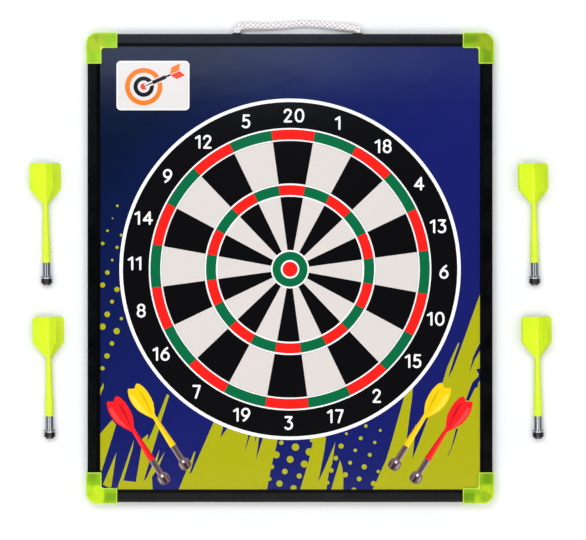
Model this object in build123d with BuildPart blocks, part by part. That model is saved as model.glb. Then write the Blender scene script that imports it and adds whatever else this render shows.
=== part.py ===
"""A magnetic dartboard, lying on its back with its four darts beside it. All sizes are millimetres.

+X runs to the right of the playing face, +Y towards the rope handle and +Z out of the playing face.
The origin is the middle of the board, on the surface that it lies on.
"""

import os
from math import atan2, cos, pi, radians, sin, tan

from build123d import *

# Frame: four plastic rails with a hollow outer edge and a groove that holds the panel.
board_width = 372.0
board_height = 430.0
rail_width = 11.5
rail_height = 12.0
rail_wall = 1.2
rail_edge_radius = 1.5
chamber_depth = 3.8
groove_start = 6.0
bevel_width = 3.2
lip_thickness = 0.8
back_lip = 1.4

# The distance from each corner of the frame to the rail end there, going round from the right rail.
# The rails are sawn short of the corners, and not all alike, because the caps hide their ends.
rail_ends = {
    "rail_right": (0, 17.4, 14.4),
    "rail_top": (90, 10.2, 12.6),
    "rail_left": (180, 14.4, 19.2),
    "rail_bottom": (270, 14.4, 17.4),
}

# Corner caps: sleeves over two rail ends, with a key that plugs into both rails.
cap_wall = 1.4
cap_arm = 28.8
cap_radius = 10.0
cap_inner_radius = 2.5
cap_edge_radius = 0.9
key_length = 24.0
key_clearance = 0.2
post_length = 9.5

# Panel: printed film on a steel sheet, a foam core and a back sheet, held in the rails' grooves.
panel_gap = 0.3
panel_corner_radius = 3.0
back_sheet_thickness = 0.8
core_thickness = 6.2
steel_thickness = 0.4
film_thickness = 0.2
ink_thickness = 0.05
lip_clearance = 0.1

# Target print: ring radii and the target's place on the face.
target_y = -1.1
bull_radius = 6.9
bull_line_radius = 8.5
outer_bull_radius = 16.1
outer_bull_line_radius = 17.6
treble_ring = (68.1, 77.3)
double_ring = (119.2, 128.4)
ring_line = 1.4
number_ring = (129.8, 153.6)
target_radius = 157.7
sector_count = 20
# The target is printed a little askew, turned clockwise on the board.
target_turn = 1.3

# Badge and brush strokes on the film. The strokes' points are from the target's middle.
badge_size = (67.0, 45.5)
badge_centre = (-126.0, 167.7)
badge_corner_radius = 4.0
lime_strokes = [
    [(-173, -203), (-173, -151), (-162, -138), (-142, -186), (-113, -115), (-131, -203)],
    [(-102, -203), (-86, -165), (-70, -138), (-11, -152), (-21, -203)],
    [(9, -203), (18, -160), (35, -160), (33, -203)],
    [(78, -203), (94, -150), (113, -105), (122, -150), (175, -20), (173, -203)],
]

# Rope handle: a braided rope through two eyelets in the top rail, held inside by toggles.
rope_radius = 3.3
rope_hole_x = (-49.0, 62.0)
rope_fold_gap = 4.6
rope_route = [
    (-49.0, 219.6, 7.4),
    (-45.6, 222.4, 6.6),
    (-37.2, 223.0, 4.9),
    (-22.0, 222.5, 3.7),
    (-4.0, 223.5, 3.5),
    (14.0, 225.3, 3.5),
    (33.0, 223.6, 3.7),
    (48.0, 221.9, 4.9),
    (57.2, 221.0, 6.4),
    (62.0, 219.6, 7.4),
]
eyelet_flange_radius = 4.4
eyelet_flange = 0.9
eyelet_radius = 4.1
eyelet_bore_radius = 3.45
eyelet_tail = 0.6
toggle_length = 18.0
toggle_depth = 3.0
toggle_height = 8.4

# Darts: distances along the axis are from the magnet's face, so the tail is at dart_length.
dart_length = 112.3
wing_radius = 15.8
wing_thickness = 0.9
wing_root = 74.6
wing_shoulder = 88.4
wing_corner_radius = 3.3
magnet_radius = 3.6
magnet_length = 5.0
cup_radius = 5.1
cup_front = 1.6
cup_back = 6.9
flange_radius = 5.4
flange_back = 8.5
barrel_back = 20.8
barrel_radius = 3.8
barrel_bore_radius = 2.6
spigot_front = 9.5
glue_gap = 0.02
shaft_end_radius = 4.0
shaft_waist = 43.0
shaft_waist_radius = 3.3
shaft_neck_radius = 2.6
wing_core_radius = 1.5
rib_count = 4
rib_pitch = 3.8
rib_width = 2.6
rib_depth = 0.35
rib_start = 26.0
dart_lean = 0.7
# The wings' angles seen from the tail, from the left. The soft lower left wing is bent outwards by the
# dart's weight, so that the dart lies on the tips of its two lower wings.
dart_roll = 29.0
wing_angles = (dart_roll, dart_roll + 90, dart_roll + 180, -dart_roll)
# Where each dart's magnet face lies.
dart_places = {
    "dart_1": (-224.0, -15.8),
    "dart_2": (-221.2, -157.1),
    "dart_3": (225.2, -15.8),
    "dart_4": (228.4, -157.1),
}

# Heights above the surface that the board lies on.
rail_base = cap_wall
rail_top = rail_base + rail_height
rail_middle = rail_base + rail_height / 2
chamber_height = rail_height - 2 * rail_wall
cap_top = rail_top + cap_wall
panel_base = rail_base + back_lip
core_base = panel_base + back_sheet_thickness
steel_base = core_base + core_thickness
film_base = steel_base + steel_thickness
film_top = film_base + film_thickness
lip_base = film_top + lip_clearance

half_width = board_width / 2
half_height = board_height / 2
panel_inset = groove_start + panel_gap
panel_half_x = half_width - panel_inset
panel_half_y = half_height - panel_inset
cap_width = rail_width + 2 * cap_wall
rope_fold_y = half_height + rope_fold_gap
eyelet_flange_y = half_height + eyelet_flange
toggle_front_y = half_height - rail_wall - eyelet_tail - 0.1


def save(part, name):
    """Writes one piece, under the name that its node takes."""
    part.label = name
    export_step(part, f"parts/{name}.step")


def make_rail(angle, start_gap, end_gap, eyelet_places=()):
    """A rail on the side of the board that faces this angle, cut short by a gap at each end."""
    upright = angle % 180 == 0
    reach = half_width if upright else half_height
    side_length = board_height if upright else board_width
    outward = Vector(cos(radians(angle)), sin(radians(angle)), 0)
    along = Vector(-outward.Y, outward.X, 0)
    start = outward * reach + along * (start_gap - side_length / 2)
    with BuildPart() as rail:
        # Local x runs inwards from the outer edge, and local y is the height.
        with BuildSketch(Plane(origin=start, x_dir=-outward, z_dir=along)) as section:
            with BuildLine():
                Polyline(
                    (0, rail_base),
                    (0, rail_top),
                    (rail_width - bevel_width, rail_top),
                    (rail_width, lip_base + lip_thickness),
                    (rail_width, lip_base),
                    (groove_start, lip_base),
                    (groove_start, panel_base),
                    (rail_width, panel_base),
                    (rail_width, rail_base),
                    close=True,
                )
            make_face()
            fillet(section.vertices().group_by(Axis.X)[0], radius=rail_edge_radius)
            with Locations((rail_wall, rail_middle)):
                Rectangle(
                    chamber_depth,
                    chamber_height,
                    align=(Align.MIN, Align.CENTER),
                    mode=Mode.SUBTRACT,
                )
        extrude(amount=side_length - start_gap - end_gap)
        for x in eyelet_places:
            with Locations(Plane(origin=(x, reach, rail_middle), z_dir=outward)):
                Hole(radius=eyelet_radius, depth=rail_wall + eyelet_tail)
    return rail.part


def corner_outline(near, far, width, corner_radius):
    """An L with its outer corner at (near, near), rounded, for a corner cap or the hollow in it."""
    with BuildSketch() as outline:
        with BuildLine():
            Polyline(
                (near, near),
                (far, near),
                (far, width),
                (width, width),
                (width, far),
                (near, far),
                close=True,
            )
        make_face()
        fillet(outline.vertices().sort_by_distance((near, near))[0], radius=corner_radius)
    return outline.sketch


def make_cap(corner, arm_direction):
    """A sleeve over two rail ends, with two tongues that plug into the rails' chambers."""
    frame = Plane(origin=corner, x_dir=arm_direction, z_dir=(0, 0, 1))
    arm_end = cap_arm - cap_wall
    hollow_radius = cap_radius - cap_wall
    tongue_near = rail_wall + key_clearance
    tongue_far = rail_wall + chamber_depth - key_clearance
    tongue_half_height = chamber_height / 2 - key_clearance
    with BuildPart() as cap:
        with BuildSketch(frame) as outline:
            add(corner_outline(-cap_wall, arm_end, rail_width + cap_wall, cap_radius))
            fillet(outline.vertices().sort_by_distance((rail_width, rail_width))[0], radius=cap_inner_radius)
            arm_corners = outline.vertices().group_by(Axis.X)[-1] + outline.vertices().group_by(Axis.Y)[-1]
            fillet(arm_corners, radius=cap_edge_radius)
        extrude(amount=cap_top)
        fillet(cap.faces().sort_by(Axis.Z)[-1].edges(), radius=cap_edge_radius)
        fillet(cap.faces().sort_by(Axis.Z)[0].edges(), radius=cap_edge_radius / 2)
        # The hollow that the rail ends go into, and the slot that the panel's corner goes into.
        with BuildSketch(frame.offset(rail_base)):
            add(corner_outline(0, 2 * arm_end, rail_width, hollow_radius))
        extrude(amount=rail_height, mode=Mode.SUBTRACT)
        with BuildSketch(frame.offset(panel_base)):
            with Locations((groove_start, groove_start)):
                Rectangle(2 * arm_end, 2 * arm_end, align=(Align.MIN, Align.MIN))
        extrude(amount=lip_base - panel_base, mode=Mode.SUBTRACT)
        # The tongues, and the post that joins them to the front and back of the cap.
        with BuildSketch(frame.offset(rail_middle)):
            add(corner_outline(tongue_near, key_length, tongue_far, hollow_radius - tongue_near))
        extrude(amount=tongue_half_height, both=True)
        with BuildSketch(frame.offset(rail_base)):
            add(corner_outline(tongue_near, post_length, tongue_far, hollow_radius - tongue_near))
        extrude(amount=rail_height)
    return cap.part


def make_sheet(base, thickness):
    """One layer of the panel, as wide and high as the rails' grooves allow."""
    with BuildPart() as sheet:
        with BuildSketch(Plane.XY.offset(base)):
            RectangleRounded(2 * panel_half_x, 2 * panel_half_y, panel_corner_radius)
        extrude(amount=thickness)
    return sheet.part


def ring(outer, inner):
    """Adds a flat ring to the sketch that is being drawn."""
    Circle(outer)
    Circle(inner, mode=Mode.SUBTRACT)


def sector_mask(first_sector):
    """Every second sector of the target, from this one, as long wedges that leave out the middle."""
    half_angle = radians(180 / sector_count)
    reach = 2 * target_radius
    first_angle = 90 - target_turn - first_sector * 360 / sector_count
    with BuildSketch() as mask:
        with PolarLocations(0, sector_count // 2, start_angle=first_angle):
            Polygon(
                (bull_radius, -bull_radius * tan(half_angle)),
                (reach, -reach * tan(half_angle)),
                (reach, reach * tan(half_angle)),
                (bull_radius, bull_radius * tan(half_angle)),
                align=None,
            )
    return mask.sketch


def ring_sectors(outer, inner, first_sector):
    """Every second sector of a flat ring."""
    with BuildSketch() as sectors:
        ring(outer, inner)
        add(sector_mask(first_sector), mode=Mode.INTERSECT)
    return sectors.sketch


def make_ink(*shapes):
    """A thin layer of ink on the film, from sketches drawn about the target's middle."""
    with BuildPart() as ink:
        with BuildSketch(Plane((0, target_y, film_top))):
            for shape in shapes:
                add(shape)
        extrude(amount=ink_thickness)
    return ink.part


def disc(radius):
    """A flat round patch about the target's middle."""
    with BuildSketch() as shape:
        Circle(radius)
    return shape.sketch


def band(outer, inner):
    """A flat ring about the target's middle."""
    with BuildSketch() as shape:
        ring(outer, inner)
    return shape.sketch


def rope_radii(route):
    """The bend radius at each inner point of the route, from the shorter run beside it."""
    radii = []
    for before, here, after in zip(route, route[1:], route[2:]):
        arriving = Vector(here) - Vector(before)
        leaving = Vector(after) - Vector(here)
        half_turn = radians(arriving.get_angle(leaving) / 2)
        radii.append(0.45 * min(arriving.length, leaving.length) / tan(half_turn))
    return radii


def make_rope_loop():
    """The rope outside the rail, with round ends about the line that the loop swings on."""
    radii = rope_radii(rope_route)
    print("rope bend radii:", [round(radius, 1) for radius in radii])
    with BuildPart() as loop:
        with BuildLine() as path:
            FilletPolyline(*rope_route, radius=radii)
        start_direction = Vector(rope_route[1]) - Vector(rope_route[0])
        with BuildSketch(Plane(origin=rope_route[0], z_dir=start_direction)):
            Circle(rope_radius)
        sweep(path=path.wires()[0])
        with Locations(rope_route[0], rope_route[-1]):
            Sphere(rope_radius)
    line = path.wires()[0].length
    # The two half balls at the ends add one ball to the tube.
    expected = pi * rope_radius**2 * (line + 4 / 3 * rope_radius)
    print("rope length:", round(line, 1), "volume against section:", round(loop.part.volume / expected, 3))
    return loop.part


def make_rope_end(x):
    """The short straight piece of rope inside the eyelet, as far as the toggle."""
    with BuildPart() as rope_end:
        with BuildSketch(Plane(origin=(x, toggle_front_y, rail_middle), z_dir=(0, 1, 0))):
            Circle(rope_radius)
        extrude(amount=eyelet_flange_y + 0.1 - toggle_front_y)
    return rope_end.part


def make_toggle(x):
    """The crossbar on the rope's end, inside the rail, that is too wide for the eyelet."""
    with BuildPart() as toggle:
        with BuildSketch(Plane(origin=(x, toggle_front_y, rail_middle), x_dir=(1, 0, 0), z_dir=(0, -1, 0))):
            RectangleRounded(toggle_length, toggle_height, 2.0)
        extrude(amount=toggle_depth)
    return toggle.part


def make_eyelet(x):
    """A flanged bush in the rail's outer wall, that the rope goes through."""
    with BuildPart() as eyelet:
        with BuildSketch(Plane(origin=(x, half_height, rail_middle), x_dir=(1, 0, 0), z_dir=(0, 1, 0))):
            ring(eyelet_flange_radius, eyelet_bore_radius)
        extrude(amount=eyelet_flange)
        with BuildSketch(Plane(origin=(x, half_height, rail_middle), x_dir=(1, 0, 0), z_dir=(0, 1, 0))):
            ring(eyelet_radius, eyelet_bore_radius)
        extrude(amount=-(rail_wall + eyelet_tail))
    return eyelet.part


def dart_frame(place):
    """A dart's own frame: z runs along its axis from the magnet's face, y is up and x is to the left."""
    drop = wing_radius * sin(radians(dart_roll)) - flange_radius
    tilt = atan2(drop, wing_shoulder - cup_back)
    lean = radians(dart_lean)
    height = flange_radius * cos(tilt) - cup_back * sin(tilt)
    axis = (-sin(lean) * cos(tilt), cos(lean) * cos(tilt), sin(tilt))
    return Plane(origin=(*place, height), x_dir=(-cos(lean), -sin(lean), 0), z_dir=axis)


def lathe_plane(frame):
    """The plane through a dart's axis, with x outwards and y along the axis."""
    return Plane(origin=frame.origin, x_dir=frame.x_dir, z_dir=-frame.y_dir)


def make_dart_body(frame):
    """The moulded flight and shaft, with a spigot that is glued into the barrel."""
    spigot_radius = barrel_bore_radius - glue_gap
    with BuildPart() as body:
        with BuildSketch(lathe_plane(frame)):
            with BuildLine():
                Polyline(
                    (0, spigot_front),
                    (spigot_radius, spigot_front),
                    (spigot_radius, barrel_back),
                    (shaft_end_radius - 0.3, barrel_back),
                    (shaft_end_radius, barrel_back + 0.6),
                    (shaft_end_radius - rib_depth, rib_start),
                    (shaft_waist_radius, shaft_waist),
                    (shaft_neck_radius, wing_root),
                    (wing_core_radius, dart_length - wing_corner_radius),
                    (0, dart_length - wing_corner_radius),
                    close=True,
                )
            make_face()
        revolve(axis=Axis(frame.origin, frame.z_dir))
        # Grip ribs, each with sloping sides.
        with BuildSketch(lathe_plane(frame)):
            for rib in range(rib_count):
                middle = rib_start + rib * rib_pitch
                with BuildLine():
                    Polyline(
                        (0, middle - rib_width / 2),
                        (shaft_end_radius - rib_depth, middle - rib_width / 2),
                        (shaft_end_radius, middle - rib_width / 4),
                        (shaft_end_radius, middle + rib_width / 4),
                        (shaft_end_radius - rib_depth, middle + rib_width / 2),
                        (0, middle + rib_width / 2),
                        close=True,
                    )
                make_face()
        revolve(axis=Axis(frame.origin, frame.z_dir))
        for angle in wing_angles:
            outward = frame.x_dir.rotate(Axis((0, 0, 0), frame.z_dir), angle)
            side = frame.z_dir.cross(outward)
            with BuildSketch(Plane(origin=frame.origin, x_dir=outward, z_dir=-side)) as wing:
                with BuildLine():
                    Polyline(
                        (0, wing_root),
                        (shaft_neck_radius, wing_root),
                        (wing_radius, wing_shoulder),
                        (wing_radius, dart_length),
                        (0, dart_length),
                        close=True,
                    )
                make_face()
                fillet(wing.vertices().group_by(Axis.X)[-1], radius=wing_corner_radius)
            extrude(amount=wing_thickness / 2, both=True)
    return body.part


def make_dart_barrel(frame):
    """The steel tube, with a flange against the magnet's cup."""
    with BuildPart() as barrel:
        with BuildSketch(frame.offset(cup_back)):
            Circle(flange_radius)
        extrude(amount=flange_back - cup_back)
        with BuildSketch(frame.offset(flange_back)):
            Circle(barrel_radius)
        extrude(amount=barrel_back - flange_back)
        chamfer(barrel.edges().filter_by(GeomType.CIRCLE).sort_by(SortBy.RADIUS)[-2:], length=0.4)
        with BuildSketch(frame.offset(spigot_front)):
            Circle(barrel_bore_radius)
        extrude(amount=barrel_back - spigot_front, mode=Mode.SUBTRACT)
    return barrel.part


def make_dart_cup(frame):
    """The cup that holds the magnet."""
    with BuildPart() as cup:
        with BuildSketch(frame.offset(cup_front)):
            Circle(cup_radius)
        extrude(amount=cup_back - cup_front)
        chamfer(cup.edges().filter_by(GeomType.CIRCLE), length=0.3)
        with BuildSketch(frame.offset(cup_front)):
            Circle(magnet_radius + glue_gap)
        extrude(amount=magnet_length - cup_front + glue_gap, mode=Mode.SUBTRACT)
    return cup.part


def make_dart_magnet(frame):
    """The disc magnet, which stands out of its cup."""
    with BuildPart() as magnet:
        with BuildSketch(frame):
            Circle(magnet_radius)
        extrude(amount=magnet_length)
        chamfer(magnet.edges().filter_by(GeomType.CIRCLE), length=0.3)
    return magnet.part


os.makedirs("parts", exist_ok=True)

# Frame
for rail_name, (rail_angle, start_gap, end_gap) in rail_ends.items():
    holes = rope_hole_x if rail_name == "rail_top" else ()
    save(make_rail(rail_angle, start_gap, end_gap, holes), rail_name)

save(make_cap((-half_width, -half_height), (1, 0, 0)), "corner_cap_bottom_left")
save(make_cap((half_width, -half_height), (0, 1, 0)), "corner_cap_bottom_right")
save(make_cap((half_width, half_height), (-1, 0, 0)), "corner_cap_top_right")
save(make_cap((-half_width, half_height), (0, -1, 0)), "corner_cap_top_left")

# Panel
save(make_sheet(panel_base, back_sheet_thickness), "back_sheet")
save(make_sheet(core_base, core_thickness), "core_board")
save(make_sheet(steel_base, steel_thickness), "steel_sheet")
save(make_sheet(film_base, film_thickness), "face_film")

# Inks of the target
singles = [
    (double_ring[0], treble_ring[1] + ring_line),
    (treble_ring[0] - ring_line, outer_bull_line_radius),
]
black_shapes = [ring_sectors(outer, inner, 0) for outer, inner in singles]
black_shapes.append(band(number_ring[1], number_ring[0]))
red_shapes = [ring_sectors(ring_size[1], ring_size[0], 0) for ring_size in (treble_ring, double_ring)]
red_shapes.append(disc(bull_radius))
green_shapes = [ring_sectors(ring_size[1], ring_size[0], 1) for ring_size in (treble_ring, double_ring)]
green_shapes.append(band(outer_bull_radius, bull_line_radius))
with BuildSketch() as white_ground:
    Circle(target_radius)
    for coloured in black_shapes + red_shapes + green_shapes:
        add(coloured, mode=Mode.SUBTRACT)
with BuildSketch() as badge_ground:
    with Locations((badge_centre[0], badge_centre[1] - target_y)):
        RectangleRounded(*badge_size, badge_corner_radius)
with BuildSketch() as strokes:
    for stroke_points in lime_strokes:
        with BuildLine():
            Polyline(*stroke_points, close=True)
        make_face()
    Circle(target_radius, mode=Mode.SUBTRACT)
save(make_ink(*black_shapes), "print_black")
save(make_ink(*red_shapes), "print_red")
save(make_ink(*green_shapes), "print_green")
save(make_ink(white_ground.sketch, badge_ground.sketch), "print_white")
save(make_ink(strokes.sketch), "print_lime")

# Rope handle
save(make_rope_loop(), "rope_handle")
for side_name, rope_x in zip(("left", "right"), rope_hole_x):
    save(make_rope_end(rope_x), f"rope_end_{side_name}")
    save(make_toggle(rope_x), f"rope_toggle_{side_name}")
    save(make_eyelet(rope_x), f"rope_eyelet_{side_name}")

# Darts
for dart_name, dart_place in dart_places.items():
    dart = dart_frame(dart_place)
    save(make_dart_body(dart), f"{dart_name}_flight")
    save(make_dart_barrel(dart), f"{dart_name}_barrel")
    save(make_dart_cup(dart), f"{dart_name}_cup")
    save(make_dart_magnet(dart), f"{dart_name}_magnet")
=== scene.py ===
from math import cos, pi, radians, sin, sqrt

import bmesh
import bpy
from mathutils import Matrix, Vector, geometry, noise


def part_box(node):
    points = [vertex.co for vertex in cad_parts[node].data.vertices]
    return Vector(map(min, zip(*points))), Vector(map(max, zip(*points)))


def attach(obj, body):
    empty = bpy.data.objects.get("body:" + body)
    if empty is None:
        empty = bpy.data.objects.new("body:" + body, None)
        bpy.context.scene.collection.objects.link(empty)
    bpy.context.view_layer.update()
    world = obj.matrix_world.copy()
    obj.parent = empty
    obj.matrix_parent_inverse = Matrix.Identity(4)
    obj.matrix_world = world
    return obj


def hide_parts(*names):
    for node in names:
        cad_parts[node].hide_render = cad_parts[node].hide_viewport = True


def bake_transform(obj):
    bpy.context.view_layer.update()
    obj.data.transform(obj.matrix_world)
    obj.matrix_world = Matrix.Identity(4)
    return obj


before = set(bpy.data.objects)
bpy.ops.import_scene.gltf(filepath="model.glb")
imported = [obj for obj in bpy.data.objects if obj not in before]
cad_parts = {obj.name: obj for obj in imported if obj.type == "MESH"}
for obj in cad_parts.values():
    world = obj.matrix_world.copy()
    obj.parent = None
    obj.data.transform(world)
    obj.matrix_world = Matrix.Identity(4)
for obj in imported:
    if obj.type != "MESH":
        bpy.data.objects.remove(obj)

MM = 0.001
scene = bpy.context.scene
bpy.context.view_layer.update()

# ---------------------------------------------------------------- camera, floor and light
CAMERA_HEIGHT = 3.0
CAMERA_OFFSET = (0.0027, -0.0018)
VIEW_WIDTH = 0.538
RAIL_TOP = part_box("rail_top")[1].z
SOFTBOX_HEIGHT = 1.9
COOL, WARM = (0.84, 0.97, 1.24), (1, 0.97, 0.97)
FLOOR_WHITE = 0.865


def make_camera():
    data = bpy.data.cameras.new("camera")
    data.lens = data.sensor_width * (CAMERA_HEIGHT - RAIL_TOP) / VIEW_WIDTH
    camera = bpy.data.objects.new("camera", data)
    camera.location = (*CAMERA_OFFSET, CAMERA_HEIGHT)
    scene.collection.objects.link(camera)
    scene.camera = camera


def make_softbox(name, x_range, y_range, radiance, colour):
    """A flat softbox that faces straight down."""
    data = bpy.data.lights.new(name, "AREA")
    data.shape = "RECTANGLE"
    data.size = x_range[1] - x_range[0]
    data.size_y = y_range[1] - y_range[0]
    data.energy = radiance * pi * data.size * data.size_y
    data.color = colour
    light = bpy.data.objects.new(name, data)
    light.location = (sum(x_range) / 2, sum(y_range) / 2, SOFTBOX_HEIGHT)
    scene.collection.objects.link(light)


def make_lights():
    """A bank of softboxes beyond the top edge, dimmer to the right, and one beyond the bottom edge. The print's gloss
    shows them from above as a sheen along those edges."""
    beyond_top, beyond_bottom = (0.285, 1.1), (-1.0, -0.345)
    make_softbox("bank_left", (-1.0, 0.08), beyond_top, 2.85, COOL)
    make_softbox("bank_middle", (0.08, 0.2), beyond_top, 1.7, COOL)
    make_softbox("bank_right", (0.2, 0.65), beyond_top, 0.9, COOL)
    make_softbox("bank_front", (-0.7, 0.7), beyond_bottom, 2.0, WARM)


def make_world():
    """A pale room lit by a ring overhead, a little more from the left, and dark straight above the camera, so that
    the glossy print shows its own colours from above. The ramp runs over the sine of the height in the sky."""
    world = bpy.data.worlds.new("room")
    scene.world = world
    world.use_nodes = True
    tree = world.node_tree
    tree.nodes.clear()
    out = tree.nodes.new("ShaderNodeOutputWorld")
    background = tree.nodes.new("ShaderNodeBackground")
    coords = tree.nodes.new("ShaderNodeTexCoord")
    split = tree.nodes.new("ShaderNodeSeparateXYZ")
    tree.links.new(coords.outputs["Generated"], split.inputs[0])
    ramp = tree.nodes.new("ShaderNodeValToRGB")
    tree.links.new(split.outputs["Z"], ramp.inputs[0])
    ring_foot, ring_start, ring_end, ring_top = 0.76, 0.83, 0.95, 0.975
    walls, ring, overhead = (0.16, 0.16, 0.16, 1), (1, 0.985, 0.965, 1), (0, 0, 0, 1)
    ramp.color_ramp.elements[0].position = ring_foot
    ramp.color_ramp.elements[0].color = walls
    ramp.color_ramp.elements[1].position = ring_top
    ramp.color_ramp.elements[1].color = overhead
    for place in (ring_start, ring_end):
        ramp.color_ramp.elements.new(place).color = ring
    strength, more_from_left = 2.34, -0.25
    side = tree.nodes.new("ShaderNodeMath")
    side.operation = "MULTIPLY_ADD"
    side.inputs[1].default_value = more_from_left
    side.inputs[2].default_value = strength
    tree.links.new(split.outputs["X"], side.inputs[0])
    tree.links.new(ramp.outputs[0], background.inputs["Color"])
    tree.links.new(side.outputs[0], background.inputs["Strength"])
    tree.links.new(background.outputs[0], out.inputs[0])


def make_floor():
    bpy.ops.mesh.primitive_plane_add(size=12, location=(0, 0, 0))
    floor = bpy.context.object
    floor.name = "floor"
    floor.data.materials.append(new_material("floor_white", (FLOOR_WHITE,) * 3, 0.9)[0])


# ---------------------------------------------------------------- materials
def new_material(name, colour, roughness, coat=0.0, coat_roughness=0.1):
    """A material with a principled shader, and its node tree."""
    material = bpy.data.materials.new(name)
    material.use_nodes = True
    tree = material.node_tree
    shader = tree.nodes["Principled BSDF"]
    shader.inputs["Base Color"].default_value = (*colour, 1)
    shader.inputs["Roughness"].default_value = roughness
    shader.inputs["Coat Weight"].default_value = coat
    shader.inputs["Coat Roughness"].default_value = coat_roughness
    return material, tree, shader


def texture(tree, kind, scale, stretch=(1, 1, 1), detail=3.0):
    """A texture of this many features to the metre, in the row's frame."""
    coords = tree.nodes.new("ShaderNodeTexCoord")
    mapping = tree.nodes.new("ShaderNodeMapping")
    mapping.inputs["Scale"].default_value = stretch
    tree.links.new(coords.outputs["Object"], mapping.inputs["Vector"])
    node = tree.nodes.new(kind)
    node.inputs["Scale"].default_value = scale
    if "Detail" in node.inputs:
        node.inputs["Detail"].default_value = detail
    tree.links.new(mapping.outputs[0], node.inputs["Vector"])
    return node


def spread(tree, source, low, high, start=0.3, end=0.7):
    """A texture's grey as a number from low to high."""
    node = tree.nodes.new("ShaderNodeMapRange")
    node.inputs["From Min"].default_value = start
    node.inputs["From Max"].default_value = end
    node.inputs["To Min"].default_value = low
    node.inputs["To Max"].default_value = high
    tree.links.new(source, node.inputs["Value"])
    return node.outputs[0]


def tint(tree, source, dark, light, start=0.3, end=0.7):
    """A texture's grey as a colour from dark to light."""
    node = tree.nodes.new("ShaderNodeValToRGB")
    node.color_ramp.elements[0].position = start
    node.color_ramp.elements[0].color = (*dark, 1)
    node.color_ramp.elements[1].position = end
    node.color_ramp.elements[1].color = (*light, 1)
    tree.links.new(source, node.inputs[0])
    return node.outputs[0]


def bump(tree, shader, source, strength, distance, coat=False):
    """Raises the surface by a texture's grey, and the clear coat over it too if coat is set."""
    node = tree.nodes.new("ShaderNodeBump")
    node.inputs["Strength"].default_value = strength
    node.inputs["Distance"].default_value = distance
    tree.links.new(source, node.inputs["Height"])
    tree.links.new(node.outputs[0], shader.inputs["Normal"])
    if coat:
        tree.links.new(node.outputs[0], shader.inputs["Coat Normal"])


def times(tree, one, other):
    """Two colours multiplied."""
    node = tree.nodes.new("ShaderNodeMixRGB")
    node.blend_type = "MULTIPLY"
    node.inputs[0].default_value = 1
    tree.links.new(one, node.inputs[1])
    tree.links.new(other, node.inputs[2])
    return node.outputs[0]


def blended(tree, share, base, over):
    """A colour socket under a fixed or linked colour, which covers it by share."""
    node = tree.nodes.new("ShaderNodeMixRGB")
    tree.links.new(share, node.inputs[0])
    tree.links.new(base, node.inputs[1])
    if isinstance(over, tuple):
        node.inputs[2].default_value = (*over, 1)
    else:
        tree.links.new(over, node.inputs[2])
    return node.outputs[0]


def scaled(colour, factor):
    """A lighter or darker colour."""
    return tuple(min(1.0, c * factor) for c in colour)


# Features to the metre.
INK_GRAIN = 2600
FILM_WAVES = 26


def film(name, colour):
    """Print under a clear glossy film that isn't quite flat, and a fine mottle for its ink."""
    material, tree, shader = new_material(name, colour, 0.5, coat=0.5, coat_roughness=0.1)
    shader.inputs["Specular IOR Level"].default_value = 0.0
    wave = texture(tree, "ShaderNodeTexNoise", FILM_WAVES, detail=2)
    bump(tree, shader, wave.outputs["Fac"], 0.05, 0.002, coat=True)
    mottle = texture(tree, "ShaderNodeTexNoise", INK_GRAIN, detail=3)
    return material, tree, shader, mottle.outputs["Fac"]


def ink(name, colour, variation=0.035):
    """One slightly uneven ink of the print."""
    material, tree, shader, mottle = film(name, colour)
    dark, light = scaled(colour, 1 - variation), scaled(colour, 1 + variation)
    tree.links.new(tint(tree, mottle, dark, light), shader.inputs["Base Color"])
    return material


def moulded(name, colour, roughness, grain=2600, depth=0.00004, variation=0.12, specular=0.4):
    """Moulded plastic with a fine grain and faint uneven gloss."""
    material, tree, shader = new_material(name, colour, roughness)
    shader.inputs["Specular IOR Level"].default_value = specular
    cloud = texture(tree, "ShaderNodeTexNoise", 45, detail=5)
    dark, light = scaled(colour, 1 - variation), scaled(colour, 1 + variation)
    tree.links.new(tint(tree, cloud.outputs["Fac"], dark, light), shader.inputs["Base Color"])
    gloss = spread(tree, cloud.outputs["Fac"], roughness - 0.06, roughness + 0.08)
    tree.links.new(gloss, shader.inputs["Roughness"])
    grains = texture(tree, "ShaderNodeTexNoise", grain, detail=2)
    bump(tree, shader, grains.outputs["Fac"], 0.35, depth)
    return material


def dress(node, material):
    """Gives a CAD node its material."""
    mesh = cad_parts[node].data
    if not mesh.materials:
        mesh.materials.append(material)
    for slot in range(len(mesh.materials)):
        mesh.materials[slot] = material


def link_mesh(name, mesh):
    piece = bpy.data.objects.new(name, mesh)
    scene.collection.objects.link(piece)
    return piece


def shade_smooth(mesh, angle=35):
    mesh.shade_smooth()
    mesh.set_sharp_from_angle(angle=radians(angle))


# ---------------------------------------------------------------- rope handle
ROPE_DIAMETER = 6.6 * MM
ROPE_PLAIT = 4
ROPE_LAY_LENGTH = 19 * MM
ROPE_POINT_STEP = 0.7 * MM
ROPE_ROUTE = [
    (-49.0, 215.9, 7.4),
    (-49.0, 219.6, 7.4),
    (-45.6, 222.4, 6.6),
    (-37.2, 223.0, 4.9),
    (-22.0, 222.5, 3.7),
    (-4.0, 223.5, 3.5),
    (14.0, 225.3, 3.5),
    (33.0, 223.6, 3.7),
    (48.0, 221.9, 4.9),
    (58.6, 221.0, 6.4),
    (63.4, 219.6, 7.4),
    (63.4, 215.9, 7.4),
]


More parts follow.
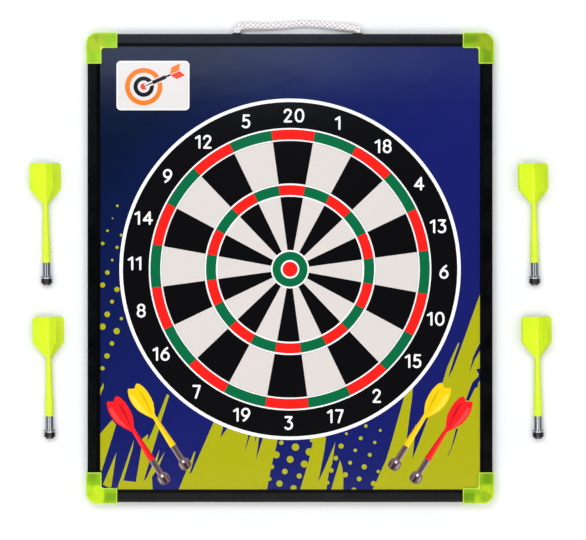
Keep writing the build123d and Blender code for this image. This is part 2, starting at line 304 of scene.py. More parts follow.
def nurbs_line(name, route):
    """Points along a smooth line with these control points."""
    data = bpy.data.curves.new(name, "CURVE")
    data.dimensions = "3D"
    data.resolution_u = 24
    spline = data.splines.new("NURBS")
    spline.points.add(len(route) - 1)
    for point, place in zip(spline.points, route):
        point.co = (*(c * MM for c in place), 1)
    spline.order_u = 3
    spline.use_endpoint_u = True
    curve = bpy.data.objects.new(name, data)
    scene.collection.objects.link(curve)
    bpy.context.view_layer.update()
    mesh = bpy.data.meshes.new_from_object(curve)
    line = [v.co.copy() for v in mesh.vertices]
    bpy.data.objects.remove(curve)
    bpy.data.meshes.remove(mesh)
    return line


def resample(line, step):
    """The same line at even steps, with its length."""
    lengths = [0.0]
    for a, b in zip(line, line[1:]):
        lengths.append(lengths[-1] + (b - a).length)
    count = max(2, round(lengths[-1] / step))
    points, at = [], 0
    for k in range(count + 1):
        goal = lengths[-1] * k / count
        while at < len(line) - 2 and lengths[at + 1] < goal:
            at += 1
        share = (goal - lengths[at]) / max(lengths[at + 1] - lengths[at], 1e-12)
        points.append(line[at].lerp(line[at + 1], min(max(share, 0), 1)))
    return points, lengths[-1]


def line_frames(points):
    """A tangent, and two directions across it that don't twist, at each point."""
    frames, side = [], Vector((0, 0, 1))
    for k, point in enumerate(points):
        tangent = (points[min(k + 1, len(points) - 1)] - points[max(k - 1, 0)]).normalized()
        side = (side - tangent * side.dot(tangent)).normalized()
        frames.append((point, tangent, side, tangent.cross(side)))
    return frames


def tube(bm, centres, radius, axis, sides=6):
    """A closed tube round a line of centres. Each point keeps its height above the rope's axis."""
    height = bm.verts.layers.float.get("height") or bm.verts.layers.float.new("height")
    rings = []
    for k, (point, _, u, v) in enumerate(line_frames(centres)):
        ring = []
        for s in range(sides):
            a = 2 * pi * s / sides
            vert = bm.verts.new(point + (u * cos(a) + v * sin(a)) * radius)
            vert[height] = (vert.co - axis[k]).length / (ROPE_DIAMETER / 2)
            ring.append(vert)
        rings.append(ring)
    for a, b in zip(rings, rings[1:]):
        for s in range(sides):
            bm.faces.new((a[s], a[(s + 1) % sides], b[(s + 1) % sides], b[s]))
    bm.faces.new(list(reversed(rings[0])))
    bm.faces.new(rings[-1])


def make_rope():
    """A braid: half of its strands wind one way and half the other, and each passes over and under the others."""
    line = nurbs_line("rope_line", ROPE_ROUTE)
    points, length = resample(line, ROPE_POINT_STEP)
    frames = line_frames(points)
    bm = bmesh.new()
    strand_radius, lay_radius, core_radius = 1.25 * MM, 1.8 * MM, 1.35 * MM
    rise_height, wobble_height = 0.5 * MM, 0.12 * MM
    turn = 2 * pi / ROPE_LAY_LENGTH
    step = length / (len(points) - 1)
    tube(bm, points, core_radius, points, sides=10)
    for direction in (1, -1):
        for k in range(ROPE_PLAIT):
            centres = []
            for n, (point, _, u, v) in enumerate(frames):
                wind = turn * n * step
                angle = 2 * pi * k / ROPE_PLAIT + direction * wind
                out = u * cos(angle) + v * sin(angle)
                wobble = wobble_height * noise.noise(Vector((k * 3.1 + direction, n * 0.09, 0)))
                rise = direction * cos(ROPE_PLAIT * wind) * rise_height
                centres.append(point + out * (lay_radius + rise + wobble))
            tube(bm, centres, strand_radius, points, sides=8)
    mesh = bpy.data.meshes.new("rope")
    bm.to_mesh(mesh)
    bm.free()
    shade_smooth(mesh, 60)
    rope = link_mesh("rope", mesh)
    material, tree, shader = new_material("rope_white", (0.8, 0.8, 0.79), 0.75)
    fibres = texture(tree, "ShaderNodeTexNoise", 2600)
    height = tree.nodes.new("ShaderNodeAttribute")
    height.attribute_name = "height"
    yarn = tint(tree, fibres.outputs["Fac"], (0.86, 0.83, 0.82), (1, 0.99, 0.98))
    # Painted shade: the colour darkens towards the rope's axis, into the crevices between the strands.
    crevice_painted_shade = tint(tree, height.outputs["Fac"], (0.42, 0.37, 0.37), (1, 0.98, 0.97), 0.7, 0.98)
    tree.links.new(times(tree, yarn, crevice_painted_shade), shader.inputs["Base Color"])
    bump(tree, shader, fibres.outputs["Fac"], 0.6, 0.0003)
    shader.inputs["Sheen Weight"].default_value = 0.25
    mesh.materials.append(material)
    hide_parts("rope_handle", "rope_end_left", "rope_end_right")
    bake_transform(rope)


make_camera()
make_rope()
make_world()
make_floor()
make_lights()

# ---------------------------------------------------------------- printed face
# The middle and the turn of the target, which is printed a little askew, and its rings' radii.
TARGET_Y = -1.1
TARGET_TURN = 1.3
RIM, NUMBER_RING, NUMBERS_AT, NUMBER_TURN = 156.85, 153.7, 142.0, 0.4
DOUBLE_IN, DOUBLE_OUT = 119.2, 128.4
TREBLE_IN, TREBLE_OUT = 68.1, 77.3
OUTER_BULL, BULL = 16.1, 6.9
LINE, HAIRLINE = 1.4, 0.3
ARC_STEP = 1.5
# Each number, and how far it is printed from its even place.
NUMBERS = [
    (20, -0.7, -0.7), (1, -4.1, 0.7), (18, -1.3, 0.7), (4, 1.2, -1.3), (13, -0.3, -0.4), (6, -0.5, 1.8),
    (10, 0.2, 2.3), (15, 0.7, 2.4), (2, -0.4, 0.9), (17, 1.7, 1.2), (3, 3.0, 0.6), (19, 3.4, 0.0),
    (7, 0.9, -0.3), (16, -1.2, 2.2), (8, -0.5, 1.8), (11, -1.0, 1.2), (14, -0.8, -0.7), (9, -0.2, -1.1),
    (12, 0.3, -0.2), (5, -0.6, -0.4),
]

INKS = {
    "blue": None,
    "lime": (0.41, 0.405, 0.008),
    "white": (0.93, 0.91, 0.9),
    "cream": (0.69, 0.64, 0.6),
    "black": (0.004, 0.004, 0.0045),
    "red": (0.84, 0.016, 0.012),
    "green": (0.004, 0.14, 0.05),
    "paper": (0.74, 0.71, 0.68),
    "orange": (0.85, 0.2, 0.012),
    "ember": (0.78, 0.06, 0.025),
    "grey": (0.3, 0.29, 0.29),
    "dart_red": (0.86, 0.016, 0.02),
    "dart_red_dark": (0.52, 0.008, 0.016),
    "dart_red_light": (0.95, 0.06, 0.06),
    "dart_yellow": (0.9, 0.6, 0.008),
    "dart_yellow_dark": (0.68, 0.42, 0.006),
    "dart_yellow_light": (0.88, 0.72, 0.06),
    "metal": (0.16, 0.11, 0.12),
    "metal_dark": (0.035, 0.018, 0.022),
    "metal_light": (0.5, 0.44, 0.45),
}
INK_NAMES = list(INKS)
layers = []


def lay(colour, points):
    """Prints a filled outline over what is there already. Points are in millimetres from the board's middle."""
    outline = [(p[0], p[1]) for p in points]
    turn = sum(a[0] * b[1] - b[0] * a[1] for a, b in zip(outline, outline[1:] + outline[:1]))
    layers.append((INK_NAMES.index(colour), outline if turn > 0 else outline[::-1]))


def arc(radius, start, end):
    """Points round the target's middle, in degrees from the top, clockwise. The target is printed a little askew."""
    count = max(1, round((end - start) / ARC_STEP))
    turns = [radians(TARGET_TURN + start + (end - start) * k / count) for k in range(count + 1)]
    return [(radius * sin(t), radius * cos(t) + TARGET_Y) for t in turns]


def lay_disc(colour, radius):
    lay(colour, arc(radius, 0, 360)[:-1])


def lay_spot(colour, x, y, radius, sides=20):
    lay(colour, [(x + radius * cos(2 * pi * k / sides), y + radius * sin(2 * pi * k / sides)) for k in range(sides)])


def lay_sectors(even, odd, inner, outer):
    """Prints the even and odd sectors between two radii, each in its colour."""
    for k in range(20):
        start, end = 18 * k - 9, 18 * k + 9
        colour = odd if k % 2 else even
        if colour:
            lay(colour, arc(outer, start, end) + arc(inner, start, end)[::-1])


def lay_line(colour, points, half, round_ends=True):
    """A stroke of even width with round joins."""
    for (ax, ay), (bx, by) in zip(points, points[1:]):
        dx, dy = bx - ax, by - ay
        length = sqrt(dx * dx + dy * dy)
        nx, ny = -dy / length * half, dx / length * half
        lay(colour, [(ax + nx, ay + ny), (bx + nx, by + ny), (bx - nx, by - ny), (ax - nx, ay - ny)])
    for x, y in points if round_ends else points[1:-1]:
        lay_spot(colour, x, y, half, 16)


def oval(x, y, rx, ry, power=2.0, sides=36):
    """An ellipse, or a squarer outline with a power over 2."""
    points = []
    for k in range(sides):
        a = 2 * pi * k / sides
        c, s = cos(a), sin(a)
        right, up = abs(c) ** (2 / power) * (1 if c > 0 else -1), abs(s) ** (2 / power) * (1 if s > 0 else -1)
        points.append((x + rx * right, y + ry * up))
    return points


# Digits of a plain rounded face, by the middles of their strokes. DIGITS has each one's width, closed loops (x, y,
# half width, half height) and open strokes.
HALF_STROKE = 0.95
BOWL = [
    (4.4, 1.35), (5.9, 0.9), (7.0, -0.2), (7.35, -1.9), (7.0, -3.7), (5.8, -5.0), (4.2, -5.45), (2.7, -5.2),
    (1.4, -4.3),
]
SIX = [
    (6.6, 5.45), (5.0, 4.3), (3.3, 2.5), (2.0, 0.5), (1.3, -1.6),
]
TWO = [
    (1.45, 3.0), (1.9, 4.3), (3.0, 5.2), (4.4, 5.45), (5.9, 5.1), (6.9, 4.1), (7.15, 2.8), (6.8, 1.5), (5.9, 0.2),
    (1.5, -5.45), (7.4, -5.45),
]
DIGITS = {
    0: (9.6, [(4.8, 0, 3.45, 5.45)], []),
    1: (5.9, [], [[(1.35, 3.4), (4.55, 5.35), (4.55, -5.45)]]),
    2: (8.8, [], [TWO]),
    3: (8.8, [], [[(1.5, 5.45), (7.0, 5.45), (3.9, 1.35)] + BOWL]),
    4: (10.4, [], [[(7.0, -5.45), (7.0, 5.2), (1.5, -2.2), (9.0, -2.2)]]),
    5: (8.7, [], [[(7.0, 5.45), (2.4, 5.45), (2.0, 0.6), (3.0, 1.15)] + BOWL]),
    6: (9.2, [(4.6, -2.05, 3.3, 3.4)], [SIX]),
    7: (8.7, [], [[(1.4, 5.45), (7.3, 5.45), (3.7, -5.45)]]),
    8: (9.0, [(4.5, 2.8, 2.8, 2.65), (4.5, -2.4, 3.15, 3.05)], []),
    9: (9.2, [(4.6, 2.05, 3.3, 3.4)], [[(9.2 - x, -y) for x, y in SIX]]),
}
DIGIT_GAP = 1.5


def lay_number(number, x, y):
    """Prints a number with its middle at a place."""
    digits = [int(c) for c in str(number)]
    width = sum(DIGITS[d][0] for d in digits) + DIGIT_GAP * (len(digits) - 1)
    left = x - width / 2
    for digit in digits:
        advance, loops, strokes = DIGITS[digit]
        power = 2.25 if digit == 0 else 2.0
        for lx, ly, rx, ry in loops:
            lay("white", oval(left + lx, y + ly, rx + HALF_STROKE, ry + HALF_STROKE, power))
        for lx, ly, rx, ry in loops:
            lay("black", oval(left + lx, y + ly, rx - HALF_STROKE, ry - HALF_STROKE, power))
        for stroke in strokes:
            lay_line("white", [(left + sx, y + sy) for sx, sy in stroke], HALF_STROKE)
        left += advance + DIGIT_GAP


# The torn brush strokes, as their outlines.
STROKES = [
    [
        (-177, -155), (-163.5, -139.5), (-159.8, -144), (-173.3, -187), (-177, -182),
    ],
    [
        (-172, -199), (-159.6, -169.5), (-161.5, -182), (-164.5, -203),
    ],
    [
        (-160.6, -210), (-143.5, -157.8), (-144.7, -166), (-153.2, -195.3), (-141.7, -196.6), (-138.2, -176),
        (-135.4, -156.5), (-130.4, -152.6), (-131.2, -159.8), (-127, -151), (-113.2, -115.8), (-111, -117.2),
        (-117.6, -137.6), (-121, -150), (-126.6, -168.6), (-134.7, -196.4), (-131.4, -192), (-120, -167),
        (-122.8, -181), (-115, -168.6), (-121.2, -184), (-127, -192), (-126, -210),
    ],
    [
        (-171.5, -105.6), (-171.3, -109.6), (-175.6, -120), (-176, -114),
    ],
    [
        (-104, -210), (-95.6, -187), (-88, -168.6), (-87, -169), (-90.4, -182.6), (-92.5, -189),
        (-90.5, -188), (-70, -141), (-61, -144), (-64.2, -156), (-56.8, -146), (-37.8, -151), (-41.8, -169.4),
        (-36, -152), (-31.5, -152), (-32.6, -161), (-29.8, -153), (-28, -152), (-31.3, -176.2), (-23.6, -152),
        (-11.6, -150), (-11.6, -158), (-13.2, -166), (-16, -177), (-18.5, -189), (-22, -210),
    ],
    [
        (8, -210), (17.5, -176), (20.6, -161), (19, -153), (33.4, -152), (31.5, -168), (26, -196),
        (31.5, -184.6), (41.6, -160), (40.3, -169), (38.6, -180.4), (36, -186), (34.6, -194.4), (33, -210),
    ],
    [
        (36.5, -210), (43.5, -184.6), (45.9, -176.4), (48, -183.2), (49, -193), (48.8, -210),
    ],
    [
        (74, -210), (82, -190), (88, -176.8), (92.2, -163.5), (96.4, -148.8), (101.8, -129.8),
        (105.7, -115.7), (113, -108.7), (111.9, -121), (110.2, -132.6), (107.1, -157.2), (110, -153.7),
        (116.1, -143.3), (115.1, -150.9), (112.4, -175.5), (117.2, -163.5), (126.8, -138.2), (132.7, -124.2),
        (140, -105.6), (144.6, -90.5), (154.5, -68.7), (155.5, -69.4), (151, -82), (145.1, -101),
        (149.6, -93.3), (156.6, -74.3), (164.3, -52.5), (175.1, -22.3), (178, -22), (178, -210),
    ],
]
# Blue that shows through the strokes on the right.
GAPS = [
    [
        (178, -62), (172, -73.6), (168.1, -82), (164.8, -96), (170, -83.4), (178, -70),
    ],
    [
        (175, -92), (171, -93.2), (173.4, -97.4), (172.8, -100), (168.1, -104.5), (166, -109),
        (161.5, -121.5), (164.3, -122), (170, -110.2), (172.4, -109.5), (173.3, -104.5), (178, -103),
    ],
    [
        (154.5, -147.4), (152.4, -148), (148.7, -163.5), (144.9, -172.4), (146, -171.8), (150.5, -160.5),
    ],
]
# Dots beside the strokes: middle and radius.
DOTS = [
    (-158.7, 57.2, 1.2), (-163.1, 45.7, 0.7), (-167.7, 34.3, 1.2), (-155.2, 30.3, 1.3), (-172.2, 22.6, 1.6),
    (-159.0, 19.0, 1.5), (-163.4, 7.3, 1.2), (-167.9, -4.1, 2.1), (-172.3, -15.6, 2.4), (-159.1, -19.6, 2.4),
    (-163.6, -30.9, 1.8), (-168.0, -42.5, 2.6), (-155.0, -46.5, 1.5), (-172.3, -53.9, 2.9),
    (-159.3, -58.0, 2.9), (-163.7, -69.3, 2.1), (-168.2, -80.8, 2.5), (-172.3, -92.1, 1.9),
    (69.7, -145.2, 1.6), (82.9, -149.2, 1.3), (51.8, -152.2, 1.3), (65.0, -156.4, 1.8), (77.8, -160.3, 1.5),
    (46.9, -163.6, 2.4), (59.9, -167.5, 1.6), (73.3, -171.7, 1.8), (42.0, -174.7, 2.2), (55.2, -178.9, 1.8),
    (68.2, -182.7, 2.4), (81.1, -187.0, 1.6), (37.8, -185.9, 2.2), (50.8, -190.0, 2.4), (63.5, -193.8, 2.2),
    (76.6, -198.0, 2.4), (58.7, -204.1, 2.4), (-8.0, -160.5, 2.1), (5.0, -164.6, 3.4), (17.7, -168.9, 3.4),
    (20.0, -158.4, 1.8), (-12.7, -171.7, 3.2), (0.1, -175.9, 3.2), (13.1, -180.1, 3.2), (-16.7, -182.7, 2.1),
    (-4.8, -187.0, 2.6), (8.4, -191.1, 2.4), (-18.8, -193.8, 1.8), (-9.7, -198.1, 2.9), (3.2, -202.3, 2.8),
    (34.4, -197.2, 1.8),
]

# The pictures of magnetic darts in the lower corners: outlines along and across the dart, from its tail.
DRAWN_LENGTH = 85.5
FLIGHT = [
    (-2.3, -6.2), (-0.5, -3.5), (0.6, -1.0), (-1.2, 1.0), (-2.2, 3.0), (-0.5, 5.0), (2.7, 6.3), (7, 7.2),
    (11.1, 7.4), (16, 7.2), (21.2, 6.4), (26, 4.4), (29.5, 2.4), (33, 1.3), (35, 1.25), (35, -1.25),
    (32, -2.8), (27.1, -5.9), (20, -9.4), (15, -10.4), (9.7, -10.5), (5, -10), (1.8, -8.8), (-1, -7.6),
]
FLIGHT_LIGHT = [
    (4, -8.2), (9, -9.3), (15, -9.2), (20, -8.2), (26, -5.4), (30, -2.6), (26, -3.6), (18, -5.2), (10, -5.4),
    (5, -5.6),
]
FLIGHT_DARK = [
    (3, 1.6), (9, 0.9), (16, 0.2), (24, -0.4), (31, -0.6), (24, 0.9), (17, 2.2), (10, 2.6),
]
FLIGHT_CREASE = [
    (10, 0.3), (16, 0.5), (22, 0.2), (26, -0.1), (22, -0.4), (16, -0.4),
]


def lay_dart_picture(tail, tip, colour, mirror):
    """A printed dart from its tail to its magnet."""
    along = (Vector(tip) - Vector(tail)).normalized()
    across = Vector((-along.y, along.x)) * mirror
    size = (Vector(tip) - Vector(tail)).length / DRAWN_LENGTH

    def put(ink_name, outline):
        lay(ink_name, [Vector(tail) + (along * s + across * t) * size for s, t in outline])

    def bar(ink_name, start, end, low, high, end_low=None, end_high=None):
        far_low = low if end_low is None else end_low
        far_high = high if end_high is None else end_high
        put(ink_name, [(start, low), (end, far_low), (end, far_high), (start, high)])

    put(colour, FLIGHT)
    put(colour + "_light", FLIGHT_LIGHT)
    put(colour + "_dark", FLIGHT_DARK)
    put(colour, FLIGHT_CREASE)
    bar(colour, 31, 65, -1.7, 1.7, -3.1, 3.1)
    bar(colour + "_dark", 36, 65, 0.9, 1.7, 1.8, 3.1)
    bar(colour + "_light", 36, 65, -1.4, -0.8, -2.5, -1.5)
    bar("metal", 65, 81, -2.8, 2.8)
    bar("metal_dark", 65.5, 80, -0.5, 0.5)
    bar("metal_light", 65, 80, -2.8, -2.3)
    put("metal", oval(85.0, 0, 5.7, 5.7, 2.6, 28))
    put("metal_light", oval(85.0, -3.9, 3.2, 0.5, 2, 12))
    put("metal_dark", [(83.6, -1.3), (89.6, -1.5), (90.4, 0), (89.6, 1.3), (83.8, 1.2)])
    put("metal_dark", oval(86.6, 3.9, 3.0, 0.5, 2, 12))
    put("white", oval(82.4, 0.0, 1.4, 1.0, 2, 14))


def draw_face():
    """Everything that is printed, from the ground upwards."""
    half_x, half_y, corner = film_hi.x / MM, film_hi.y / MM, 3.0
    lay("blue", oval_box(0, 0, half_x, half_y, corner))
    for x, y, radius in DOTS:
        lay_spot("lime", x, y, radius)
    for stroke in STROKES:
        lay("lime", [(min(max(x, -half_x + 1), half_x - 1), max(y, -half_y + 1)) for x, y in stroke])
    for gap in GAPS:
        lay("blue", [(min(x, half_x - 1), y) for x, y in gap])
    lay_dart_picture((-161.4, -121.3), (-115.9, -193.8), "dart_red", 1)
    lay_dart_picture((-142.4, -109.6), (-96.5, -180.5), "dart_yellow", 1)
    lay_dart_picture((141.1, -108.9), (95.7, -180.9), "dart_yellow", -1)
    lay_dart_picture((160.9, -121.4), (115.4, -193.0), "dart_red", -1)
    draw_badge(-126.0, 167.7)
    lay_disc("white", RIM)
    lay_disc("black", NUMBER_RING)
    lay_disc("white", DOUBLE_OUT + LINE)
    lay_disc("grey", DOUBLE_IN - LINE + HAIRLINE)
    lay_disc("cream", DOUBLE_IN - LINE)
    lay_sectors("red", "green", DOUBLE_IN, DOUBLE_OUT)
    lay_sectors("black", None, TREBLE_OUT + LINE, DOUBLE_IN - LINE)
    lay_disc("grey", TREBLE_OUT + LINE + HAIRLINE)
    lay_disc("white", TREBLE_OUT + LINE)
    lay_sectors("red", "green", TREBLE_IN, TREBLE_OUT)
    lay_disc("cream", TREBLE_IN - LINE)
    lay_sectors("black", None, OUTER_BULL + LINE + 0.1, TREBLE_IN - LINE)
    lay_disc("white", OUTER_BULL + LINE)
    lay_disc("green", OUTER_BULL)
    lay_disc("white", BULL + 1.6)
    lay_disc("red", BULL)
    for k, (number, right, up) in enumerate(NUMBERS):
        a = radians(18 * k + TARGET_TURN + NUMBER_TURN)
        lay_number(number, NUMBERS_AT * sin(a) + right, NUMBERS_AT * cos(a) + TARGET_Y + up)


def oval_box(x, y, half_x, half_y, corner):
    """A rectangle with round corners."""
    points = []
    for k, (sx, sy) in enumerate([(1, 1), (-1, 1), (-1, -1), (1, -1)]):
        middle_x, middle_y = x + sx * (half_x - corner), y + sy * (half_y - corner)
        for n in range(9):
            a = radians(90 * k + 90 * n / 8)
            points.append((middle_x + corner * cos(a), middle_y + corner * sin(a)))
    return points


def draw_badge(x, y):
    """A plain white badge with a small target and a dart, and no lettering."""
    lay("white", oval_box(x, y, 33.5, 22.7, 4.0))
    lay("paper", oval_box(x, y, 32.3, 21.5, 3.0))
    cx, cy = x - 8.5, y - 1.0
    for colour, radius in (("orange", 17.2), ("paper", 12.8), ("black", 9.4), ("paper", 5.6), ("ember", 3.0)):
        lay_spot(colour, cx, cy, radius, 48)
    lean = radians(24)
    along, across = Vector((cos(lean), sin(lean))), Vector((-sin(lean), cos(lean)))

    def put(colour, outline):
        lay(colour, [Vector((cx, cy)) + along * s + across * t for s, t in outline])

    put("paper", [(1, -1.6), (19, -3.0), (19, 3.0), (1, 1.6)])
    half_shaft = [(0.5, -0.3), (9, -0.6), (9, -1.7), (22, -1.7), (22, -0.8), (27, -0.8)]
    put("black", half_shaft + [(s, -t) for s, t in reversed(half_shaft)])
    put("ember", [(26.5, -0.3), (30.5, -6.0), (39, -6.0), (36, -0.3)])
    put("orange", [(26.5, 0.3), (30.5, 6.0), (39, 6.0), (36, 0.3)])


film_lo, film_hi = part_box("face_film")
FACE_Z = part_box("print_red")[1].z


def blue_ink():
    """The blue ground: navy at the top left, and bluer to the lower right. The gradient is partly the print's own and
    partly painted light falloff.
    """
    material, tree, shader, mottle = film("ink_blue", (0.01, 0.012, 0.1))
    coords = tree.nodes.new("ShaderNodeTexCoord")
    # Painted light falloff, together with the print's own gradient: darker towards the top left.
    print_and_falloff_gradient = tree.nodes.new("ShaderNodeVectorMath")
    print_and_falloff_gradient.operation = "DOT_PRODUCT"
    print_and_falloff_gradient.inputs[1].default_value = (1.1, -1.0, 0)
    tree.links.new(coords.outputs["Object"], print_and_falloff_gradient.inputs[0])
    ramp = tree.nodes.new("ShaderNodeValToRGB")
    ramp.color_ramp.elements[0].color = (0.0028, 0.0085, 0.033, 1)
    ramp.color_ramp.elements[1].color = (0.0095, 0.0135, 0.135, 1)
    ramp.color_ramp.elements.new(0.5).color = (0.006, 0.0125, 0.092, 1)
    tree.links.new(spread(tree, print_and_falloff_gradient.outputs["Value"], 0, 1, -0.29, 0.03), ramp.inputs[0])
    uneven = tint(tree, mottle, (0.94, 0.94, 0.94), (1, 1, 1))
    tree.links.new(times(tree, ramp.outputs[0], uneven), shader.inputs["Base Color"])
    return material


def make_face():
    """The printed film: one thin sheet whose faces carry the ink that lies uppermost on them."""
    draw_face()
    points, outlines = [], []
    for _, outline in layers:
        start = len(points)
        points.extend(Vector(p) for p in outline)
        outlines.append(list(range(start, len(points))))
    places, _, faces, _, _, owners = geometry.delaunay_2d_cdt(points, [], outlines, 1, 0.003)
    white = INK_NAMES.index("white")
    bm = bmesh.new()
    verts = [bm.verts.new((p.x * MM, p.y * MM, FACE_Z)) for p in places]
    for face, owner in zip(faces, owners):
        if not owner:
            continue
        made = bm.faces.new([verts[k] for k in face])
        made.material_index = layers[max(owner)][0]
    bmesh.ops.delete(bm, geom=[v for v in bm.verts if not v.link_faces], context="VERTS")
    bm.normal_update()
    for face in bm.faces:
        if face.normal.z < 0:
            face.normal_flip()
    bmesh.ops.dissolve_limit(
        bm,
        angle_limit=radians(0.5),
        use_dissolve_boundaries=False,
        verts=bm.verts[:],
        edges=bm.edges[:],
        delimit={"MATERIAL"},
    )
    # The film's edge and back.
    rim = [e for e in bm.edges if e.is_boundary]
    walls = bmesh.ops.extrude_edge_only(bm, edges=rim)["geom"]
    low = [v for v in walls if isinstance(v, bmesh.types.BMVert)]
    for v in low:
        v.co.z = film_lo.z
    for face in (f for f in walls if isinstance(f, bmesh.types.BMFace)):
        face.material_index = white
    back = bmesh.ops.contextual_create(bm, geom=[e for e in bm.edges if e.is_boundary])["faces"]
    for face in back:
        face.material_index = white
    bmesh.ops.recalc_face_normals(bm, faces=bm.faces[:])
    mesh = bpy.data.meshes.new("face_print")
    bm.to_mesh(mesh)
    bm.free()
    for name, colour in INKS.items():
        mesh.materials.append(blue_ink() if colour is None else ink("ink_" + name, colour))
    face = link_mesh("face_print", mesh)
    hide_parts("face_film", "print_black", "print_red", "print_green", "print_white", "print_lime")
    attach(face, "board")


# ---------------------------------------------------------------- caps, rails, panel and darts
def maths(tree, operation, a, b=0.0):
    """One arithmetic node on two numbers or sockets."""
    node = tree.nodes.new("ShaderNodeMath")
    node.operation = operation
    for socket, value in zip(node.inputs, (a, b)):
        if isinstance(value, (int, float)):
            socket.default_value = value
        else:
            tree.links.new(value, socket)
    return node.outputs[0]


CAP_CORNER_RADIUS = 10 * MM
CAP_ARM_WIDTH = 14.3 * MM


def position(tree):
    """Where a point of the surface is in the row's frame, one socket to an axis."""
    coords = tree.nodes.new("ShaderNodeTexCoord")
    split = tree.nodes.new("ShaderNodeSeparateXYZ")
    tree.links.new(coords.outputs["Object"], split.inputs[0])
    return split.outputs


def cap_edge_distance(tree):
    """How far inside a cap's outline a place lies, seen from above, in metres. The caps are mirror images."""
    low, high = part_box("corner_cap_top_right")
    radius, arm = CAP_CORNER_RADIUS, CAP_ARM_WIDTH
    x, y = (maths(tree, "ABSOLUTE", position(tree)[axis]) for axis in "XY")
    past = [
        maths(tree, "MAXIMUM", maths(tree, "SUBTRACT", at, edge - radius), 0)
        for at, edge in ((x, high.x), (y, high.y))
    ]
    round_off = maths(tree, "SQRT", maths(tree, "ADD", *(maths(tree, "POWER", p, 2) for p in past)))
    outer = maths(tree, "SUBTRACT", radius, round_off)
    inner = maths(
        tree, "MAXIMUM", maths(tree, "SUBTRACT", x, high.x - arm), maths(tree, "SUBTRACT", y, high.y - arm)
    )
    ends = maths(tree, "MINIMUM", maths(tree, "SUBTRACT", x, low.x), maths(tree, "SUBTRACT", y, low.y))
    return maths(tree, "MINIMUM", maths(tree, "MINIMUM", outer, inner), ends)


def cap_corner(tree):
    """1 in a cap's corner, where there is no rail behind it, and 0 in its arms."""
    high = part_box("corner_cap_top_right")[1]
    x, y = (maths(tree, "ABSOLUTE", position(tree)[axis]) for axis in "XY")
    nearer = maths(tree, "MINIMUM", maths(tree, "SUBTRACT", x, high.x), maths(tree, "SUBTRACT", y, high.y))
    return spread(tree, nearer, 0, 1, -18 * MM, -16 * MM)


def cap_material(name, arm_clearness, corner_painted_brightness):
    """Clear fluorescent plastic: light runs along inside it and comes out at its edges, and the rails' ends show
    through. The brighter outline is a painted glow, and the paler corner, set per cap, is painted light."""
    material, tree, shader = new_material(name + "_lime", (0.36, 0.72, 0.02), 0.25)
    shader.inputs["Specular IOR Level"].default_value = 0.25
    cloud = texture(tree, "ShaderNodeTexNoise", 95, detail=4)
    arm_colour = tint(tree, cloud.outputs["Fac"], (0.4, 0.76, 0.01), (0.48, 0.88, 0.015), 0.35, 0.65)
    # Painted light: the corner, where no rail lies behind, is painted paler, as if lit through from the floor, and
    # scaled per cap.
    deep, pale = scaled((0.4, 0.66, 0.01), corner_painted_brightness), scaled((0.68, 0.92, 0.012), corner_painted_brightness)
    corner_painted_light = tint(tree, cloud.outputs["Fac"], deep, pale, 0.36, 0.5)
    in_corner = cap_corner(tree)
    # Painted glow: the cap's outline is painted a bright yellow-green.
    edge = spread(tree, cap_edge_distance(tree), 1, 0, 0.5 * MM, 1.25 * MM)
    body_colour = blended(tree, in_corner, arm_colour, corner_painted_light)
    tree.links.new(blended(tree, edge, body_colour, (0.72, 1.0, 0.12)), shader.inputs["Base Color"])
    grains = texture(tree, "ShaderNodeTexNoise", 420, detail=3)
    bump(tree, shader, grains.outputs["Fac"], 0.25, 0.0001)
    see = tree.nodes.new("ShaderNodeBsdfTransparent")
    see.inputs[0].default_value = (0.97, 1.0, 0.12, 1)
    glow = tree.nodes.new("ShaderNodeBsdfTranslucent")
    glow.inputs[0].default_value = (0.8, 1.0, 0.04, 1)
    glow_share, edge_clearness, corner_clearness = 0.12, 0.12, 0.5
    body = tree.nodes.new("ShaderNodeMixShader")
    body.inputs[0].default_value = glow_share
    tree.links.new(shader.outputs[0], body.inputs[1])
    tree.links.new(glow.outputs[0], body.inputs[2])
    whole = tree.nodes.new("ShaderNodeMixShader")
    by_edge = spread(tree, edge, arm_clearness, edge_clearness, 0, 1)
    by_corner = spread(tree, in_corner, 1, corner_clearness, 0, 1)
    tree.links.new(maths(tree, "MULTIPLY", by_edge, by_corner), whole.inputs[0])
    tree.links.new(body.outputs[0], whole.inputs[1])
    tree.links.new(see.outputs[0], whole.inputs[2])
    tree.links.new(whole.outputs[0], tree.nodes["Material Output"].inputs["Surface"])
    return material


def metal(name, colour, roughness, streaks=400):
    """Bare metal with fine drawn streaks."""
    material, tree, shader = new_material(name, colour, roughness)
    shader.inputs["Metallic"].default_value = 1
    lines = texture(tree, "ShaderNodeTexNoise", streaks, (1, 12, 1), 3)
    streaked = tint(tree, lines.outputs["Fac"], scaled(colour, 0.8), scaled(colour, 1.15))
    tree.links.new(streaked, shader.inputs["Base Color"])
    tree.links.new(spread(tree, lines.outputs["Fac"], roughness * 0.7, roughness * 1.4), shader.inputs["Roughness"])
    return material


GROOVE_PITCH = 0.9 * MM


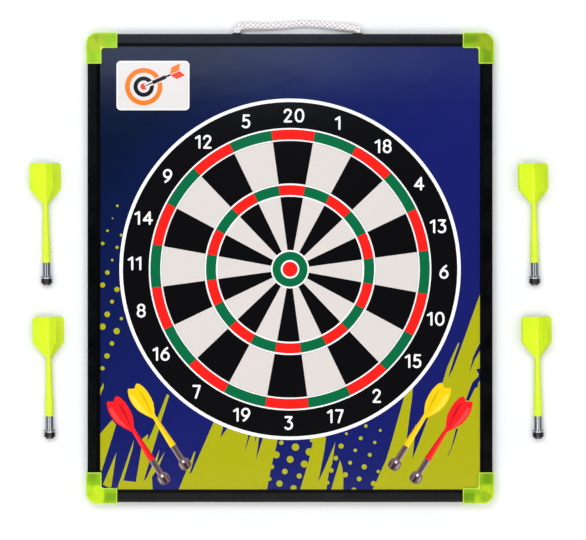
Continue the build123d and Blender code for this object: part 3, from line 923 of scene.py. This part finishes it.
def cup_material(node):
    """Blackened steel with fine turned grooves painted as light and dark bands, which stand for their shading, and a
    bright flange towards the barrel.
    """
    material, tree, shader = new_material(node + "_black", (0.035, 0.03, 0.032), 0.28)
    shader.inputs["Metallic"].default_value = 1
    depth = maths(tree, "SUBTRACT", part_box(node)[1].y, position(tree)["Y"])
    # Painted shading: the turned grooves are light and dark bands in the colour, not relief.
    groove_painted_shading = maths(tree, "SINE", maths(tree, "MULTIPLY", depth, 2 * pi / GROOVE_PITCH))
    dark = tint(tree, groove_painted_shading, (0.02, 0.017, 0.018), (0.09, 0.08, 0.082), -0.5, 1)
    on_flange = spread(tree, depth, 1, 0, 0.8 * MM, 1.1 * MM)
    tree.links.new(blended(tree, on_flange, dark, (0.85, 0.87, 0.88)), shader.inputs["Base Color"])
    grains = texture(tree, "ShaderNodeTexNoise", 900, (1, 6, 1), 2)
    bump(tree, shader, grains.outputs["Fac"], 0.2, 0.00005)
    return material


make_face()
for rail, shine in (("rail_left", 0.06), ("rail_right", 0.06), ("rail_top", 0.2), ("rail_bottom", 0.2)):
    dress(rail, moulded(rail + "_black", (0.0014, 0.0016, 0.0019), 0.2, specular=shine))
fitting_black = moulded("fitting_black", (0.006, 0.006, 0.006), 0.4, specular=0.2)
for fitting in ("rope_eyelet_left", "rope_eyelet_right", "rope_toggle_left", "rope_toggle_right"):
    dress(fitting, fitting_black)
# How clear each cap's arms are, and how bright its corner is painted: the corner brightness is painted light, lighter
# or darker from cap to cap as the light falls.
CAP_CLEARNESS_AND_PAINTED_LIGHT = {
    "bottom_left": (0.48, 1.05),
    "bottom_right": (0.56, 0.9),
    "top_left": (0.3, 0.72),
    "top_right": (0.56, 0.6),
}
for corner, (clearness, painted_brightness) in CAP_CLEARNESS_AND_PAINTED_LIGHT.items():
    dress("corner_cap_" + corner, cap_material("corner_cap_" + corner, clearness, painted_brightness))
board_brown = moulded("board_brown", (0.25, 0.16, 0.09), 0.7, grain=900, depth=0.0002)
dress("back_sheet", board_brown)
dress("core_board", moulded("core_grey", (0.4, 0.35, 0.28), 0.8, grain=600, depth=0.0003))
dress("steel_sheet", metal("steel", (0.6, 0.6, 0.61), 0.35))
dart_yellow = moulded("dart_yellow", (0.68, 0.88, 0.02), 0.42, variation=0.05)
dart_steel = metal("dart_steel", (0.31, 0.33, 0.36), 0.12, 900)
dart_magnet = metal("dart_magnet", (0.14, 0.13, 0.14), 0.16, 900)
for number in range(1, 5):
    dress(f"dart_{number}_flight", dart_yellow)
    dress(f"dart_{number}_barrel", dart_steel)
    dress(f"dart_{number}_cup", cup_material(f"dart_{number}_cup"))
    dress(f"dart_{number}_magnet", dart_magnet)

scene.view_settings.view_transform = "Standard"
